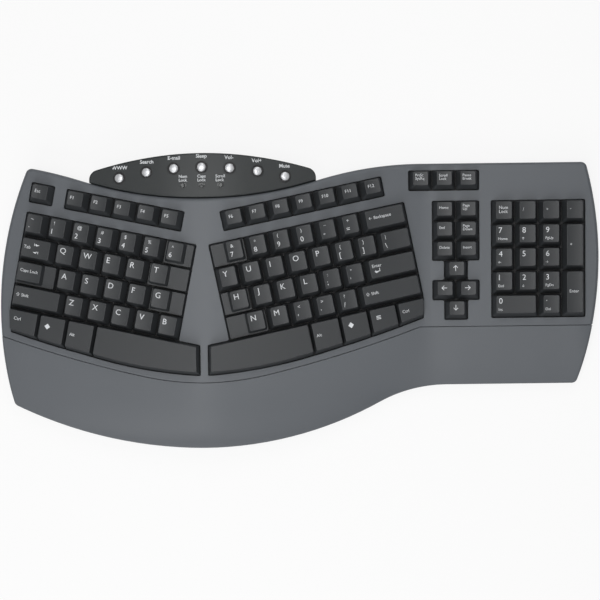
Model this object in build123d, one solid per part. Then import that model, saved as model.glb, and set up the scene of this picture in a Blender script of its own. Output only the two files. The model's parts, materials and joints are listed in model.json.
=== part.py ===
from build123d import *
from math import cos, radians, sin, sqrt, tan
import os

# An ergonomic split keyboard with a tented key deck, a separate palm rest,
# a navigation block, a number pad and a lens-shaped hot-key panel at the rear.
# +X is to the typist's right, +Y is away from the typist and +Z is up.
# The model is drawn about the home point, where the split line crosses the top
# of the number rows, and every piece is moved at the end so that the origin is
# the middle of the footprint on the desk.
# Lengths are in millimetres and angles in degrees.

# Key grid
key_pitch = 19.05
left_pitch = 19.55
row_pitch = 19.55
short_pitch = 16.05
key_gap = 0.85
well_clearance = 0.7
well_corner = 1.4
left_keys_wide = 7.25
right_keys_wide = 8.5
main_rows = 4
function_shift_keys = 0.75
left_functions = 5
right_functions = 7
function_row_gap = 8.0
split_half_gap = 4.8
space_strip = 5.9
bottom_row_reach = 28.2

# Rows of the two main blocks from the rear to the front, from left to right:
# the node, the count, the width in pitches, and how much of that is a low flap,
# counted below zero where it lies to the key's left
left_rows = (
    (("number_keys_left", 6, 1, 0), ("number_keys_left", 1, 1.25, 0.25)),
    (
        ("tab_key", 1, 1.5, 0),
        ("upper_letters_left", 4, 1, 0),
        ("upper_letters_left", 1, 1.75, 0.75),
    ),
    (
        ("caps_lock_key", 1, 1.75, 0.45),
        ("home_letters_left", 4, 1, 0),
        ("home_letters_left", 1, 1.5, 0.5),
    ),
    (("shift_key_left", 1, 2.25, 0), ("lower_letters_left", 5, 1, 0)),
)
right_rows = (
    (
        ("number_keys_right", 1, 1.5, -0.5),
        ("number_keys_right", 5, 1, 0),
        ("backspace_key", 1, 2, 0),
    ),
    (("upper_letters_right", 7, 1, 0), ("backslash_key", 1, 1.5, 0)),
    (
        ("home_letters_right", 1, 1.25, -0.25),
        ("home_letters_right", 5, 1, 0),
        ("enter_key", 1, 2.25, 0),
    ),
    (
        ("lower_letters_right", 1, 1.75, -0.75),
        ("lower_letters_right", 4, 1, 0),
        ("shift_key_right", 1, 2.75, 0),
    ),
)

# Bottom rows: the nodes, and the joints between them in pitches from the left end
left_bottom_names = ("ctrl_key_left", "super_key_left", "alt_key_left", "space_bar_left")
left_bottom_joints = (1.4, 2.6, 3.82)
right_bottom_names = (
    "space_bar_right",
    "alt_key_right",
    "super_key_right",
    "menu_key",
    "ctrl_key_right",
)
right_bottom_joints = (3.4, 4.7, 5.95, 7.2)

# Deck attitude
cluster_angle = 12.0
tent_angle = 8.0
slope_angle = 3.0
ridge_height = 43.4
ridge_radius = 110.0
valley_radius = 60.0
valley_margin = 1.7

# Straight key blocks on the right
nav_gap = 7.5
pad_gap = 9.7
block_rise = 34.0
print_row_gap = 8.6
pad_rows = 5
pad_columns = 4
nav_columns = 2
nav_rows = 3
print_columns = 3

# Margins of the case round the keys
rim_width = 5.4
left_margin = 4.5
right_margin = 11.4
rear_margin = 5.9
rear_left_margin = 3.6

# Plan curves of the case
front_bend_margin = 16.5
front_bulge_radius = 300.0
palm_depth = 54.0
palm_right_depth = 47.3
palm_left_depth = 56.7
front_left_inset = 9.5
front_right_inset = 18.5
rear_right_inset = 10.5
left_bulge_share = 0.39
right_bulge_share = 0.57
outline_corner = 5.0
palm_tip_radius = 230.0
palm_bend_reach = 50.0
palm_arm_radius = 950.0
hollow_margin = 10.6
hollow_radius = 305.0

# Case walls
foot_lift = 1.2
floor_thickness = 2.0
wall_thickness = 2.4
deck_thickness = 2.5
parting_height = 8.5
deck_fillet = 2.6
base_chamfer = 1.0
seam_gap = 0.5
overrun = 6.0

# Palm rest
palm_edge_height = 10.0
palm_edge_share = 0.35
palm_flat_share = 0.45
palm_turn_share = 0.18
palm_fall_share = 0.62
palm_section_step = 16.0
palm_overrun_share = 0.06
palm_curve_steps = 10
palm_fillet = 2.0
palm_screw_inset = 26.0
palm_screw_share = 0.7

# Keycaps
cap_rise = 7.6
skirt_drop = 1.0
key_travel = 3.4
cap_wall = 1.3
cap_roof = 1.6
cap_corner = 1.5
flap_corner = 0.9
bar_corner = 0.95
cap_edge = 0.45
bar_edge = 0.35
dish_depth = 0.6
dish_edge_share = 0.5
side_inset = 2.8
front_inset = 3.8
rear_inset = 0.4
number_side_inset = 3.3
number_front_inset = 4.2
short_side_inset = 3.2
short_front_inset = 4.1
bar_side_inset = 1.1
bar_front_inset = 3.4
bar_rear_inset = 0.6
flap_rise = 2.6
flap_inset = 0.7
stem_width = 5.6
stem_reach = 5.0

# Key mechanism, measured down from the deck surface
guide_top = 1.6
guide_clearance = 0.22
guide_wall = 1.2
press_clearance = 0.4
frame_thickness = 1.8
frame_rim = 1.6
module_margin = 2.0
dome_head = 0.2
dome_height = 4.2
dome_diameter = 6.8
dome_top_diameter = 4.4
dome_sheet_thickness = 0.5
membrane_thickness = 0.3
back_plate_thickness = 0.7
split_clearance = 0.3
post_diameter = 7.0
post_column_shares = (0.06, 0.5, 0.94)
post_row_shares = (0.1, 0.95)
pad_post_shares = (0.1, 0.9)

# Hot-key panel
panel_depth = 36.0
panel_half_width = 91.0
panel_radius = 312.0
panel_corner = 8.0
panel_step = 1.2
panel_ridge_radius = 240.0
panel_roof = 2.0
panel_gap = 0.4
panel_fillet = 1.2
panel_screw_inset = 18.4
hotkey_names = ("web", "search", "mail", "sleep", "volume_down", "volume_up", "mute")
hotkey_step = 22.1
hotkey_row_radius = 294.0
hotkey_row_inset = 11.2
hotkey_diameter = 6.8
hotkey_clearance = 0.35
hotkey_flange = 8.8
hotkey_flange_thickness = 0.9
hotkey_rise = 1.0
hotkey_edge = 0.4
hotkey_travel = 0.9
hotkey_play = 0.1
plunger_diameter = 3.2
plunger_play = 0.6
lamp_step = 15.2
lamp_row_inset = 25.8
lens_diameter = 3.2
lens_clearance = 0.12
lens_rise = 0.2
lamp_width = 3.0
lamp_height = 1.4
hot_board_drop = 7.4
hot_board_reach = 74.0
hot_board_half_width = 7.0
hot_board_tab_width = 46.0
hot_board_tab_depth = 15.0
board_thickness = 1.6
switch_width = 6.0
switch_height = 1.8
hanger_diameter = 5.0
hanger_pin_diameter = 2.4
hanger_clearance = 0.1
hanger_reaches = (33.0, 55.0)
controller_width = 62.0
controller_depth = 20.0
controller_lift = 5.0
controller_gap = 2.5
chip_width = 14.0
chip_height = 2.6
connector_width = 22.0
connector_depth = 5.0
connector_height = 6.0

# Feet, screws and cable inlet
pad_length = 18.0
pad_width = 8.0
pad_corner = 2.0
pad_recess = 0.6
pad_seat_clearance = 0.15
pad_front_margin = 16.0
pad_side_share = 0.8
leg_length = 19.0
leg_width = 26.0
leg_thickness = 4.6
leg_pin_diameter = 3.2
leg_pin_length = 2.0
leg_clearance = 0.4
leg_pin_clearance = 0.1
pocket_wall = 1.6
boss_diameter = 7.6
screw_diameter = 3.0
screw_clearance = 0.1
screw_head_diameter = 5.6
screw_head_height = 1.8
screw_head_recess = 2.0
screw_grip = 8.0
screw_slot_share = 0.7
screw_slot_width = 0.9
screw_slot_depth = 0.8
gland_width = 8.0
gland_flange_width = 10.6
gland_flange_thickness = 1.4
gland_inner_length = 5.0
gland_clearance = 0.1
gland_bore_radius = 2.1

# Derived heights and widths
tent_fall = tan(radians(tent_angle))
slope_rise = tan(radians(slope_angle))
floor_top = foot_lift + floor_thickness
well_growth = well_clearance - key_gap / 2
module_growth = well_growth + module_margin
left_width = left_keys_wide * left_pitch
right_width = right_keys_wide * key_pitch
rows_depth = main_rows * row_pitch
function_rear = function_row_gap + short_pitch
function_shift = function_shift_keys * key_pitch
left_function_start = -function_shift - left_functions * left_pitch
right_function_end = function_shift + right_functions * key_pitch
function_middle = function_row_gap + short_pitch / 2
frame_top = skirt_drop + key_travel + press_clearance
frame_bottom = frame_top + frame_thickness
dome_base = stem_reach + dome_head + dome_height
membrane_top = dome_base + dome_sheet_thickness
plate_top = membrane_top + membrane_thickness
stack_depth = plate_top + back_plate_thickness
guide_bore = stem_width + 2 * guide_clearance
guide_width = guide_bore + 2 * guide_wall


def deck_plane(across, along, height, turn, rise):
    """A plane on the deck whose rows run at the plan angle turn."""
    plan_cos = cos(radians(turn))
    plan_sin = sin(radians(turn))
    row = Vector(plan_cos, plan_sin, plan_cos * rise + plan_sin * slope_rise)
    normal = Vector(-rise, -slope_rise, 1)
    return Plane(origin=(across, along, height), x_dir=row, z_dir=normal)


# The two tented planes start at the inner top corners of the number rows
inner_height = ridge_height - split_half_gap * tent_fall
left_plane = deck_plane(-split_half_gap, 0, inner_height, -cluster_angle, tent_fall)
right_plane = deck_plane(split_half_gap, 0, inner_height, cluster_angle, -tent_fall)


def plan_point(plane, u, v):
    """Where a point of a deck plane lies in the plan."""
    return plane.from_local_coords(Vector(u, v, 0))


# Key blocks in the plan
right_foot = plan_point(right_plane, right_width, -rows_depth)
left_foot = plan_point(left_plane, -left_width, -rows_depth)
valley = right_foot.X + valley_margin
level_height = ridge_height - valley * tent_fall
level_plane = deck_plane(0, 0, level_height, 0, 0)
slope_cos = cos(radians(slope_angle))
nav_left = right_foot.X + nav_gap
nav_right = nav_left + nav_columns * key_pitch
pad_left = nav_right + pad_gap
pad_right = pad_left + pad_columns * key_pitch
pad_foot = block_rise - pad_rows * key_pitch
nav_foot = block_rise - 2 * nav_rows * short_pitch
print_foot = block_rise + print_row_gap
print_rear = print_foot + short_pitch
print_left = nav_right - print_columns * key_pitch
function_inner = plan_point(right_plane, function_shift, function_rear)
escape_corner = plan_point(left_plane, -left_width, function_rear)

# Line between the deck and the palm rest
row_foot = -rows_depth * cos(radians(cluster_angle))
palm_tip = row_foot - bottom_row_reach - rim_width
palm_straight = nav_foot * slope_cos - well_growth - rim_width
tip_centre = palm_tip + palm_tip_radius
bend_sine = palm_bend_reach / palm_tip_radius
bend_cosine = sqrt(1 - bend_sine**2)
arm_shift = palm_arm_radius - palm_tip_radius
arm_centre_across = -arm_shift * bend_sine
arm_centre_along = tip_centre + arm_shift * bend_cosine


def palm_line(across, inset=0):
    """The line's place at a distance from the split, moved inset to the rear."""
    reach = abs(across)
    if reach < (palm_tip_radius - inset) * bend_sine:
        return tip_centre - sqrt((palm_tip_radius - inset) ** 2 - reach**2)
    run = reach - arm_centre_across
    return arm_centre_along - sqrt((palm_arm_radius - inset) ** 2 - run**2)


def straight_start(inset=0):
    """Where the line turns into the straight stretch in front of the pads."""
    drop = arm_centre_along - palm_straight - inset
    return arm_centre_across + sqrt((palm_arm_radius - inset) ** 2 - drop**2)


# Reaches of the case outline
left_reach = -left_foot.X + left_margin + key_pitch * sin(radians(cluster_angle))
right_reach = pad_right + right_margin
rear_edge = print_rear * slope_cos + rear_margin
rear_hollow = function_inner.Y + hollow_margin
panel_edge = rear_hollow + panel_depth
front_edge = palm_tip - palm_depth
front_straight = palm_straight - palm_right_depth
front_bend = valley + front_bend_margin
front_left = Vector(-left_reach + front_left_inset, palm_line(left_reach) - palm_left_depth)
front_right = Vector(right_reach - front_right_inset, front_straight)
rear_left = Vector(escape_corner.X - rear_left_margin, rear_edge)
rear_right = Vector(right_reach - rear_right_inset, rear_edge)
rear_reach = panel_edge + gland_clearance + gland_flange_thickness
centring = Pos((left_reach - right_reach) / 2, -(rear_reach + front_edge) / 2, 0)
tall = ridge_height + overrun


def s_curve(start, end, radius):
    """Two arcs, level at both ends, the first of the given radius."""
    run = end.X - start.X
    rise = end.Y - start.Y
    share = radius * 2 * abs(rise) / (run**2 + rise**2)
    joint = start + (end - start) * share
    ahead = Vector(run / abs(run), 0)
    first = TangentArc(start, joint, tangent=ahead)
    second = TangentArc(end, joint, tangent=-ahead)
    return [first, second]


def rear_left_curve(hollow):
    """The hollow behind the left block, then a nearly straight run to the corner."""
    reach = panel_half_width + rim_width
    drop = sqrt(hollow_radius**2 - reach**2)
    joint = Vector(-reach, rear_hollow + hollow_radius - drop)
    first = TangentArc(hollow, joint, tangent=(-1, 0))
    second = TangentArc(joint, rear_left, tangent=(-drop, reach))
    return [first, second]


def near(vertices, points):
    """The vertices that lie nearest to the given points."""
    chosen = []
    for point in points:
        chosen.append(vertices.sort_by_distance(point)[0])
    return chosen


def case_outline():
    """The plan of the case without the hot-key panel."""
    bulge_along = front_left.Y + left_bulge_share * (rear_edge - front_left.Y)
    left_bulge = Vector(-left_reach, bulge_along)
    right_along = front_straight + right_bulge_share * (rear_edge - front_straight)
    right_bulge = Vector(right_reach, right_along)
    hollow = Vector(0, rear_hollow)
    tip = Vector(0, front_edge)
    rear_bend = Vector(valley, rear_edge)
    bend = Vector(front_bend, front_straight)
    edges = [
        TangentArc(left_bulge, rear_left, tangent=(0, 1)),
        TangentArc(left_bulge, front_left, tangent=(0, -1)),
        ThreePointArc(front_left, (front_left.X / 2, front_line(front_left.X / 2)), tip),
        Line(bend, front_right),
        TangentArc(right_bulge, front_right, tangent=(0, -1)),
        TangentArc(right_bulge, rear_right, tangent=(0, 1)),
        Line(rear_right, rear_bend),
    ]
    edges += rear_left_curve(hollow)
    edges += s_curve(hollow, rear_bend, hollow_radius)
    edges += s_curve(tip, bend, front_bulge_radius)
    plan = make_face(edges)
    corners = near(plan.vertices(), [front_left, front_right, rear_left, rear_right])
    return fillet(corners, outline_corner)


def drawn_inside(plan, inset):
    """The plan moved inwards, with each of its curves drawn as an arc again."""
    edges = []
    for edge in offset(plan, -inset).edges():
        if edge.geom_type == GeomType.LINE:
            edges.append(edge)
        else:
            edges.append(ThreePointArc(edge @ 0, edge @ 0.5, edge @ 1))
    return make_face(edges)


def palm_side(inset=0):
    """Everything in front of the palm line, as a wide plan area."""
    left_end = -left_reach - overrun
    right_end = right_reach + overrun
    bend = (palm_tip_radius - inset) * bend_sine
    start = straight_start(inset)
    corner = palm_straight + inset
    low = front_edge - overrun
    left_middle = (left_end - bend) / 2
    right_middle = (bend + start) / 2
    edges = [
        ThreePointArc(
            (left_end, palm_line(left_end, inset)),
            (left_middle, palm_line(left_middle, inset)),
            (-bend, palm_line(bend, inset)),
        ),
        ThreePointArc(
            (-bend, palm_line(bend, inset)),
            (0, palm_tip + inset),
            (bend, palm_line(bend, inset)),
        ),
        ThreePointArc(
            (bend, palm_line(bend, inset)),
            (right_middle, palm_line(right_middle, inset)),
            (start, corner),
        ),
        Polyline(
            (start, corner),
            (right_end, corner),
            (right_end, low),
            (left_end, low),
            (left_end, palm_line(left_end, inset)),
        ),
    ]
    return make_face(edges)


def panel_outline(inset=0):
    """The lens-shaped plan of the hot-key panel."""
    reach = panel_half_width - inset
    hollow_centre = rear_hollow + hollow_radius
    front_radius = hollow_radius - panel_gap - inset
    front_side = hollow_centre - sqrt(front_radius**2 - reach**2)
    panel_centre = panel_edge - panel_radius
    rear_radius = panel_radius - inset
    rear_side = panel_centre + sqrt(rear_radius**2 - reach**2)
    edges = [
        ThreePointArc((-reach, front_side), (0, hollow_centre - front_radius), (reach, front_side)),
        Line((reach, front_side), (reach, rear_side)),
        ThreePointArc((reach, rear_side), (0, panel_edge - inset), (-reach, rear_side)),
        Line((-reach, rear_side), (-reach, front_side)),
    ]
    plan = make_face(edges)
    corners = near(plan.vertices(), [(reach, rear_side), (-reach, rear_side)])
    return fillet(corners, panel_corner - inset)


def prism(plan, low, high):
    """A plan area drawn up between two heights."""
    return extrude(Pos(0, 0, low) * plan, high - low)


def under_deck(drop, ridge, valley_round):
    """The space below the deck surface, lowered by drop."""
    left_end = -left_reach - overrun
    right_end = right_reach + overrun
    start = front_edge - overrun
    length = panel_edge - start + overrun
    top = ridge_height - drop + start * slope_rise
    level = top - valley * tent_fall
    depth = -tall
    profile = make_face(
        Polyline(
            (left_end, depth),
            (left_end, top + left_end * tent_fall),
            (0, top),
            (valley, level),
            (right_end, level),
            (right_end, depth),
            close=True,
        )
    )
    if ridge > 0:
        profile = fillet(near(profile.vertices(), [(0, top)]), ridge)
    if valley_round > 0:
        profile = fillet(near(profile.vertices(), [(valley, level)]), valley_round)
    section = Plane(origin=(0, start, 0), x_dir=(1, 0, 0), z_dir=(0, -1, 0)) * profile
    return extrude(section, length / slope_cos, dir=(0, slope_cos, slope_cos * slope_rise))


# Outlines of the key blocks, as boxes of left, right, front and rear
def grown(box, growth):
    left, right, front, rear = box
    return (left - growth, right + growth, front - growth, rear + growth)


def box_plan(box, corner=0):
    left, right, front, rear = box
    centre = Pos((left + right) / 2, (front + rear) / 2)
    if corner > 0:
        return centre * RectangleRounded(right - left, rear - front, corner)
    return centre * Rectangle(right - left, rear - front)


halvings = 40


def foot_point(plane, u, across, inset):
    """Where a key's side meets the front of the bottom row.

    The side is a column line at u, or a line along Y at a place across.
    """
    high = -rows_depth + key_pitch
    low = -2 * rows_depth
    base = plan_point(plane, 0, 0)
    row_step = plan_point(plane, 1, 0) - base
    column_step = plan_point(plane, 0, 1) - base
    for _ in range(halvings):
        v = (high + low) / 2
        if across is not None:
            u = (across - base.X - v * column_step.X) / row_step.X
        point = base + row_step * u + column_step * v
        if point.Y > palm_line(point.X, inset):
            high = v
        else:
            low = v
    return Vector(u, v)


def side_top(plane, u, across, v):
    """Where a key's side meets a row line at v."""
    if across is None:
        return Vector(u, v)
    base = plan_point(plane, 0, 0)
    row_step = plan_point(plane, 1, 0) - base
    column_step = plan_point(plane, 0, 1) - base
    return Vector((across - base.X - v * column_step.X) / row_step.X, v)


def bottom_plan(plane, left_side, right_side, rear, inset, corner=0):
    """A plan area of the bottom row, from a row line to the palm line.

    Each side is a pair: a column line and None, or None and a place across.
    """
    rear_left_corner = side_top(plane, *left_side, rear)
    rear_right_corner = side_top(plane, *right_side, rear)
    front_left_corner = foot_point(plane, *left_side, inset)
    front_right_corner = foot_point(plane, *right_side, inset)
    middle_u = (front_left_corner.X + front_right_corner.X) / 2
    middle = foot_point(plane, middle_u, None, inset)
    edges = [
        Polyline(front_left_corner, rear_left_corner, rear_right_corner, front_right_corner),
        ThreePointArc(front_right_corner, middle, front_left_corner),
    ]
    plan = make_face(edges)
    if corner > 0:
        plan = fillet(plan.vertices(), corner)
    return plan


def joined(plans):
    """One plan area from several that meet."""
    whole = plans[0]
    for plan in plans[1:]:
        whole = whole + plan
    return whole


def cluster_bottoms(side, growth):
    """The bottom row of one tented block in two stretches with their own arcs."""
    inset = rim_width + well_growth - growth
    inner = side * (space_strip / 2 + well_growth - growth)
    low = -rows_depth - growth
    high = -rows_depth + growth
    inner_side = (None, inner)
    if side < 0:
        outer_side = (None, plan_point(left_plane, -left_width - growth, low).X)
        middle = (-left_width / 2, None)
        return [
            bottom_plan(left_plane, outer_side, middle, low, inset),
            bottom_plan(left_plane, middle, inner_side, high, inset),
        ]
    outer_side = (None, plan_point(right_plane, right_width + growth, low).X)
    middle = (right_width / 2, None)
    return [
        bottom_plan(right_plane, inner_side, middle, high, inset),
        bottom_plan(right_plane, middle, outer_side, low, inset),
    ]


def left_wells(growth):
    main = (-left_width, 0, -rows_depth, 0)
    functions = (left_function_start, -function_shift, function_row_gap, function_rear)
    escape = (-left_width, -left_width + left_pitch, function_row_gap, function_rear)
    block = joined([box_plan(grown(main, growth))] + cluster_bottoms(-1, growth))
    return [block, box_plan(grown(functions, growth)), box_plan(grown(escape, growth))]


def right_wells(growth):
    main = (0, right_width, -rows_depth, 0)
    functions = (function_shift, right_function_end, function_row_gap, function_rear)
    block = joined([box_plan(grown(main, growth))] + cluster_bottoms(1, growth))
    return [block, box_plan(grown(functions, growth))]


def nav_row(row):
    """Rear edge of a row of the short-key column, counted from the top."""
    return block_rise - row * short_pitch


def level_wells(growth):
    neck_left = nav_left + key_pitch / 2
    neck = (neck_left, neck_left + key_pitch, nav_row(6), nav_row(2))
    block = (nav_left, nav_right, nav_row(3), nav_row(0))
    arms = (nav_left, nav_right, nav_row(5), nav_row(4))
    column = joined([box_plan(grown(part, growth)) for part in (neck, block, arms)])
    pad = box_plan(grown((pad_left, pad_right, pad_foot, block_rise), growth))
    prints = box_plan(grown((print_left, nav_right, print_foot, print_rear), growth))
    return [column, pad, prints]


def left_module(growth):
    main = (-left_width, 0, -rows_depth, 0)
    upper = (-left_width, -function_shift, 0, function_rear)
    plans = [box_plan(grown(main, growth)), box_plan(grown(upper, growth))]
    return joined(plans + cluster_bottoms(-1, growth))


def right_module(growth):
    main = (0, right_width, -rows_depth, 0)
    upper = (function_shift, right_function_end, 0, function_rear)
    plans = [box_plan(grown(main, growth)), box_plan(grown(upper, growth))]
    return joined(plans + cluster_bottoms(1, growth))


def level_module(growth):
    neck_left = nav_left + key_pitch / 2
    main = (nav_left, pad_right, nav_row(5), block_rise)
    foot = (neck_left, pad_right, nav_row(6), nav_row(4))
    prints = (print_left, nav_right, print_foot, print_rear)
    link = (nav_left, nav_right, block_rise, print_foot)
    return joined([box_plan(grown(part, growth)) for part in (main, foot, prints, link)])


# Keycaps, each drawn about its own place with the deck surface at zero
def drawn_in(box, sides, front, rear):
    left, right, low, high = box
    return (left + sides, right - sides, low + front, high - rear)


def tapered(lower, upper, low, high, corner=0):
    """A block between two boxes, with its slanted corners rounded."""
    sections = [Pos(0, 0, low) * box_plan(lower), Pos(0, 0, high) * box_plan(upper)]
    block = loft(sections, ruled=True)
    if corner > 0:
        rows = block.edges().group_by(Axis.Z)
        block = fillet(rows[1], corner)
    return block


def stem(across, along):
    roof = cap_rise - cap_roof / 2
    return Pos(across, along, (roof - stem_reach) / 2) * Box(
        stem_width, stem_width, roof + stem_reach
    )


def dished(cap, top_box):
    """A shallow trough along the cap's top, and softened edges round it."""
    left, right, front, rear = top_box
    half = (right - left) / 2
    radius = half**2 / (2 * dish_depth * dish_edge_share)
    middle = (left + right) / 2
    trough = Pos(middle, (front + rear) / 2, cap_rise - dish_depth + radius) * (
        Rot(90, 0, 0) * Cylinder(radius, rear - front + 2 * overrun)
    )
    cap = cap - trough
    top = cap.faces().sort_by(Axis.Z)[-1]
    return fillet(top.edges(), cap_edge)


def key_shape(width, depth, insets, flap_left=0, flap_right=0):
    """A hollow keycap with its stem; a flap widens it to one side, low down."""
    half_width = width / 2 - key_gap / 2
    half_depth = depth / 2 - key_gap / 2
    whole = (-half_width, half_width, -half_depth, half_depth)
    body = (-half_width + flap_left, half_width - flap_right, -half_depth, half_depth)
    top = drawn_in(body, *insets)
    cap = dished(tapered(body, top, -skirt_drop, cap_rise, cap_corner), top)
    hollow_top = grown(top, -cap_wall)
    hollow = tapered(grown(body, -cap_wall), hollow_top, -skirt_drop, cap_rise - cap_roof)
    if flap_left + flap_right > 0:
        ledge_top = drawn_in(whole, flap_inset, flap_inset, flap_inset)
        ledge = tapered(whole, ledge_top, -skirt_drop, flap_rise, flap_corner)
        inside_top = grown(ledge_top, -cap_wall)
        inside = tapered(grown(whole, -cap_wall), inside_top, -skirt_drop, flap_rise - cap_wall)
        cap = cap + ledge - inside
    middle = (body[0] + body[1]) / 2
    return cap - hollow + stem(middle, 0)


def bottom_key(plane, left_side, right_side):
    """A keycap of the bottom row, whose front follows the palm line."""
    rear = -rows_depth - key_gap / 2
    inset = rim_width + well_clearance

    def side(line, step):
        u, across = line
        if across is None:
            return (u + step, None)
        return (None, across + step)

    def area(sides, front, back, corner, height):
        left_line = side(left_side, sides)
        right_line = side(right_side, -sides)
        plan = bottom_plan(plane, left_line, right_line, rear - back, inset + front, corner)
        return Pos(0, 0, height) * plan

    base = area(0, 0, 0, bar_corner, -skirt_drop)
    top = area(bar_side_inset, bar_front_inset, bar_rear_inset, bar_corner, cap_rise)
    cap = loft([base, top], ruled=True)
    cap = fillet(cap.faces().sort_by(Axis.Z)[-1].edges(), bar_edge)
    roof = cap_rise - cap_roof
    inner = area(cap_wall, cap_wall, cap_wall, bar_corner / 2, -skirt_drop)
    inner_top = area(
        cap_wall + bar_side_inset,
        cap_wall + bar_front_inset,
        cap_wall + bar_rear_inset,
        bar_corner / 2,
        roof,
    )
    cap = cap - loft([inner, inner_top], ruled=True)
    left_foot_point = foot_point(plane, *left_side, inset)
    right_foot_point = foot_point(plane, *right_side, inset)
    left_rear = side_top(plane, *left_side, rear)
    right_rear = side_top(plane, *right_side, rear)
    place = (left_foot_point + right_foot_point + left_rear + right_rear) / 4
    return cap + stem(place.X, place.Y), place


nodes = {}
stems = {"left": [], "right": [], "level": []}
planes = {"left": left_plane, "right": right_plane, "level": level_plane}
pitches = {"left": left_pitch, "right": key_pitch, "level": key_pitch}
letter_insets = (side_inset, front_inset, rear_inset)
number_insets = (number_side_inset, number_front_inset, rear_inset)
short_insets = (short_side_inset, short_front_inset, rear_inset)


def keep(name, *shapes):
    """Adds solids to a node."""
    held = nodes.setdefault(name, [])
    for shape in shapes:
        held.extend(shape.solids())


plain_key = key_shape(key_pitch, key_pitch, letter_insets)
plain_short = key_shape(key_pitch, short_pitch, short_insets)


def place_key(name, block, shape, u, v, stem_shift=0):
    """Sets a keycap on its deck plane and notes where its guide goes."""
    keep(name, planes[block] * (Pos(u, v) * shape))
    stems[block].append((u + stem_shift, v))


def place_row(name, block, shape, start, count, v, width=1, flap=0):
    """Sets equal keys side by side, with width and flap in key pitches."""
    pitch = pitches[block]
    for index in range(count):
        u = start + (index + 0.5) * width * pitch
        place_key(name, block, shape, u, v, -flap * pitch / 2)


def row_middle(row):
    return -(row + 0.5) * row_pitch


def main_block(block, start, rows):
    """All rows of one tented block except the function and bottom rows."""
    pitch = pitches[block]
    for row, groups in enumerate(rows):
        insets = number_insets if row == 0 else letter_insets
        left = start
        for name, count, width, flap in groups:
            flaps = (max(-flap, 0) * pitch, max(flap, 0) * pitch)
            shape = key_shape(width * pitch, row_pitch, insets, *flaps)
            place_row(name, block, shape, left, count, row_middle(row), width, flap)
            left += count * width * pitch


def function_rows():
    left_short = key_shape(left_pitch, short_pitch, short_insets)
    place_row("esc_key", "left", left_short, -left_width, 1, function_middle)
    count = left_functions
    start = left_function_start
    place_row("function_keys_left", "left", left_short, start, count, function_middle)
    count = right_functions
    start = function_shift
    place_row("function_keys_right", "right", plain_short, start, count, function_middle)


def bottom_row(block, names, joints, left_end, right_end):
    """Keys of a bottom row, named from left to right, with joints at column lines."""
    plane = planes[block]
    left_sides = [(None, left_end)] + [(line + key_gap / 2, None) for line in joints]
    right_sides = [(line - key_gap / 2, None) for line in joints] + [(None, right_end)]
    for name, left_side, right_side in zip(names, left_sides, right_sides):
        shape, place = bottom_key(plane, left_side, right_side)
        keep(name, plane * shape)
        stems[block].append((place.X, place.Y))


def bottom_rows():
    inner = space_strip / 2 + well_clearance
    outer = key_gap / 2
    joints = [count * left_pitch - left_width for count in left_bottom_joints]
    bottom_row("left", left_bottom_names, joints, left_foot.X + outer, -inner)
    joints = [count * key_pitch for count in right_bottom_joints]
    bottom_row("right", right_bottom_names, joints, inner, right_foot.X - outer)


def level_blocks():
    half = short_pitch / 2
    name = "print_scroll_pause_keys"
    place_row(name, "level", plain_short, print_left, print_columns, print_foot + half)
    for row in range(nav_rows):
        v = nav_row(row) - half
        place_row("navigation_keys", "level", plain_short, nav_left, nav_columns, v)
    neck = nav_left + key_pitch / 2
    for row, start, count in ((3, neck, 1), (4, nav_left, 2), (5, neck, 1)):
        place_row("arrow_keys", "level", plain_short, start, count, nav_row(row) - half)
    top = block_rise - key_pitch / 2
    place_row("pad_function_keys", "level", plain_key, pad_left, pad_columns, top)
    digits = pad_columns - 1
    for row in range(1, pad_rows - 1):
        v = top - row * key_pitch
        place_row("pad_number_keys", "level", plain_key, pad_left, digits, v)
    last = top - (pad_rows - 1) * key_pitch
    zero_width = digits - 1
    zero = key_shape(zero_width * key_pitch, key_pitch, letter_insets)
    place_row("pad_zero_key", "level", zero, pad_left, 1, last, zero_width)
    point_left = pad_left + zero_width * key_pitch
    place_row("pad_number_keys", "level", plain_key, point_left, 1, last)
    tall_key = key_shape(key_pitch, 2 * key_pitch, letter_insets)
    column_left = pad_right - key_pitch
    for name, row in (("pad_plus_key", 2), ("pad_enter_key", 4)):
        place_row(name, "level", tall_key, column_left, 1, block_rise - row * key_pitch)


# Key modules: frame with guides, dome sheet, membrane and back plate
modules = {"left": left_module, "right": right_module, "level": level_module}
frame_names = {
    "left": "key_frame_left",
    "right": "key_frame_right",
    "level": "key_frame_pad",
}


def beside_split(block, solid):
    """Keeps a tented module on its own side of the split."""
    if block == "level":
        return solid
    side = -1 if block == "left" else 1
    width = right_reach
    length = panel_edge - front_edge
    room = Pos(side * (width / 2 + split_clearance), 0, 0) * Box(width, 2 * length, 4 * tall)
    return solid & room


def sheet(block, growth, top, bottom):
    """A flat layer of a module between two depths below the deck."""
    plan = modules[block](growth)
    return planes[block] * extrude(Pos(0, 0, -bottom) * plan, bottom - top)


def guide_places(block, solid):
    return [planes[block] * (Pos(u, v) * solid) for u, v in stems[block]]


def key_frame(block):
    plate = sheet(block, module_growth, frame_top, frame_bottom)
    rim = sheet(block, module_growth, deck_thickness, dome_base)
    rim = rim - sheet(block, module_growth - frame_rim, 0, dome_base + overrun)
    chimney_height = frame_top - guide_top
    chimney = Pos(0, 0, -guide_top - chimney_height / 2) * Box(
        guide_width, guide_width, chimney_height
    )
    bore_height = frame_bottom + overrun
    bore = Pos(0, 0, -bore_height / 2) * Box(guide_bore, guide_bore, bore_height)
    frame = plate + rim + guide_places(block, chimney) - guide_places(block, bore)
    return beside_split(block, frame)


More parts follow.
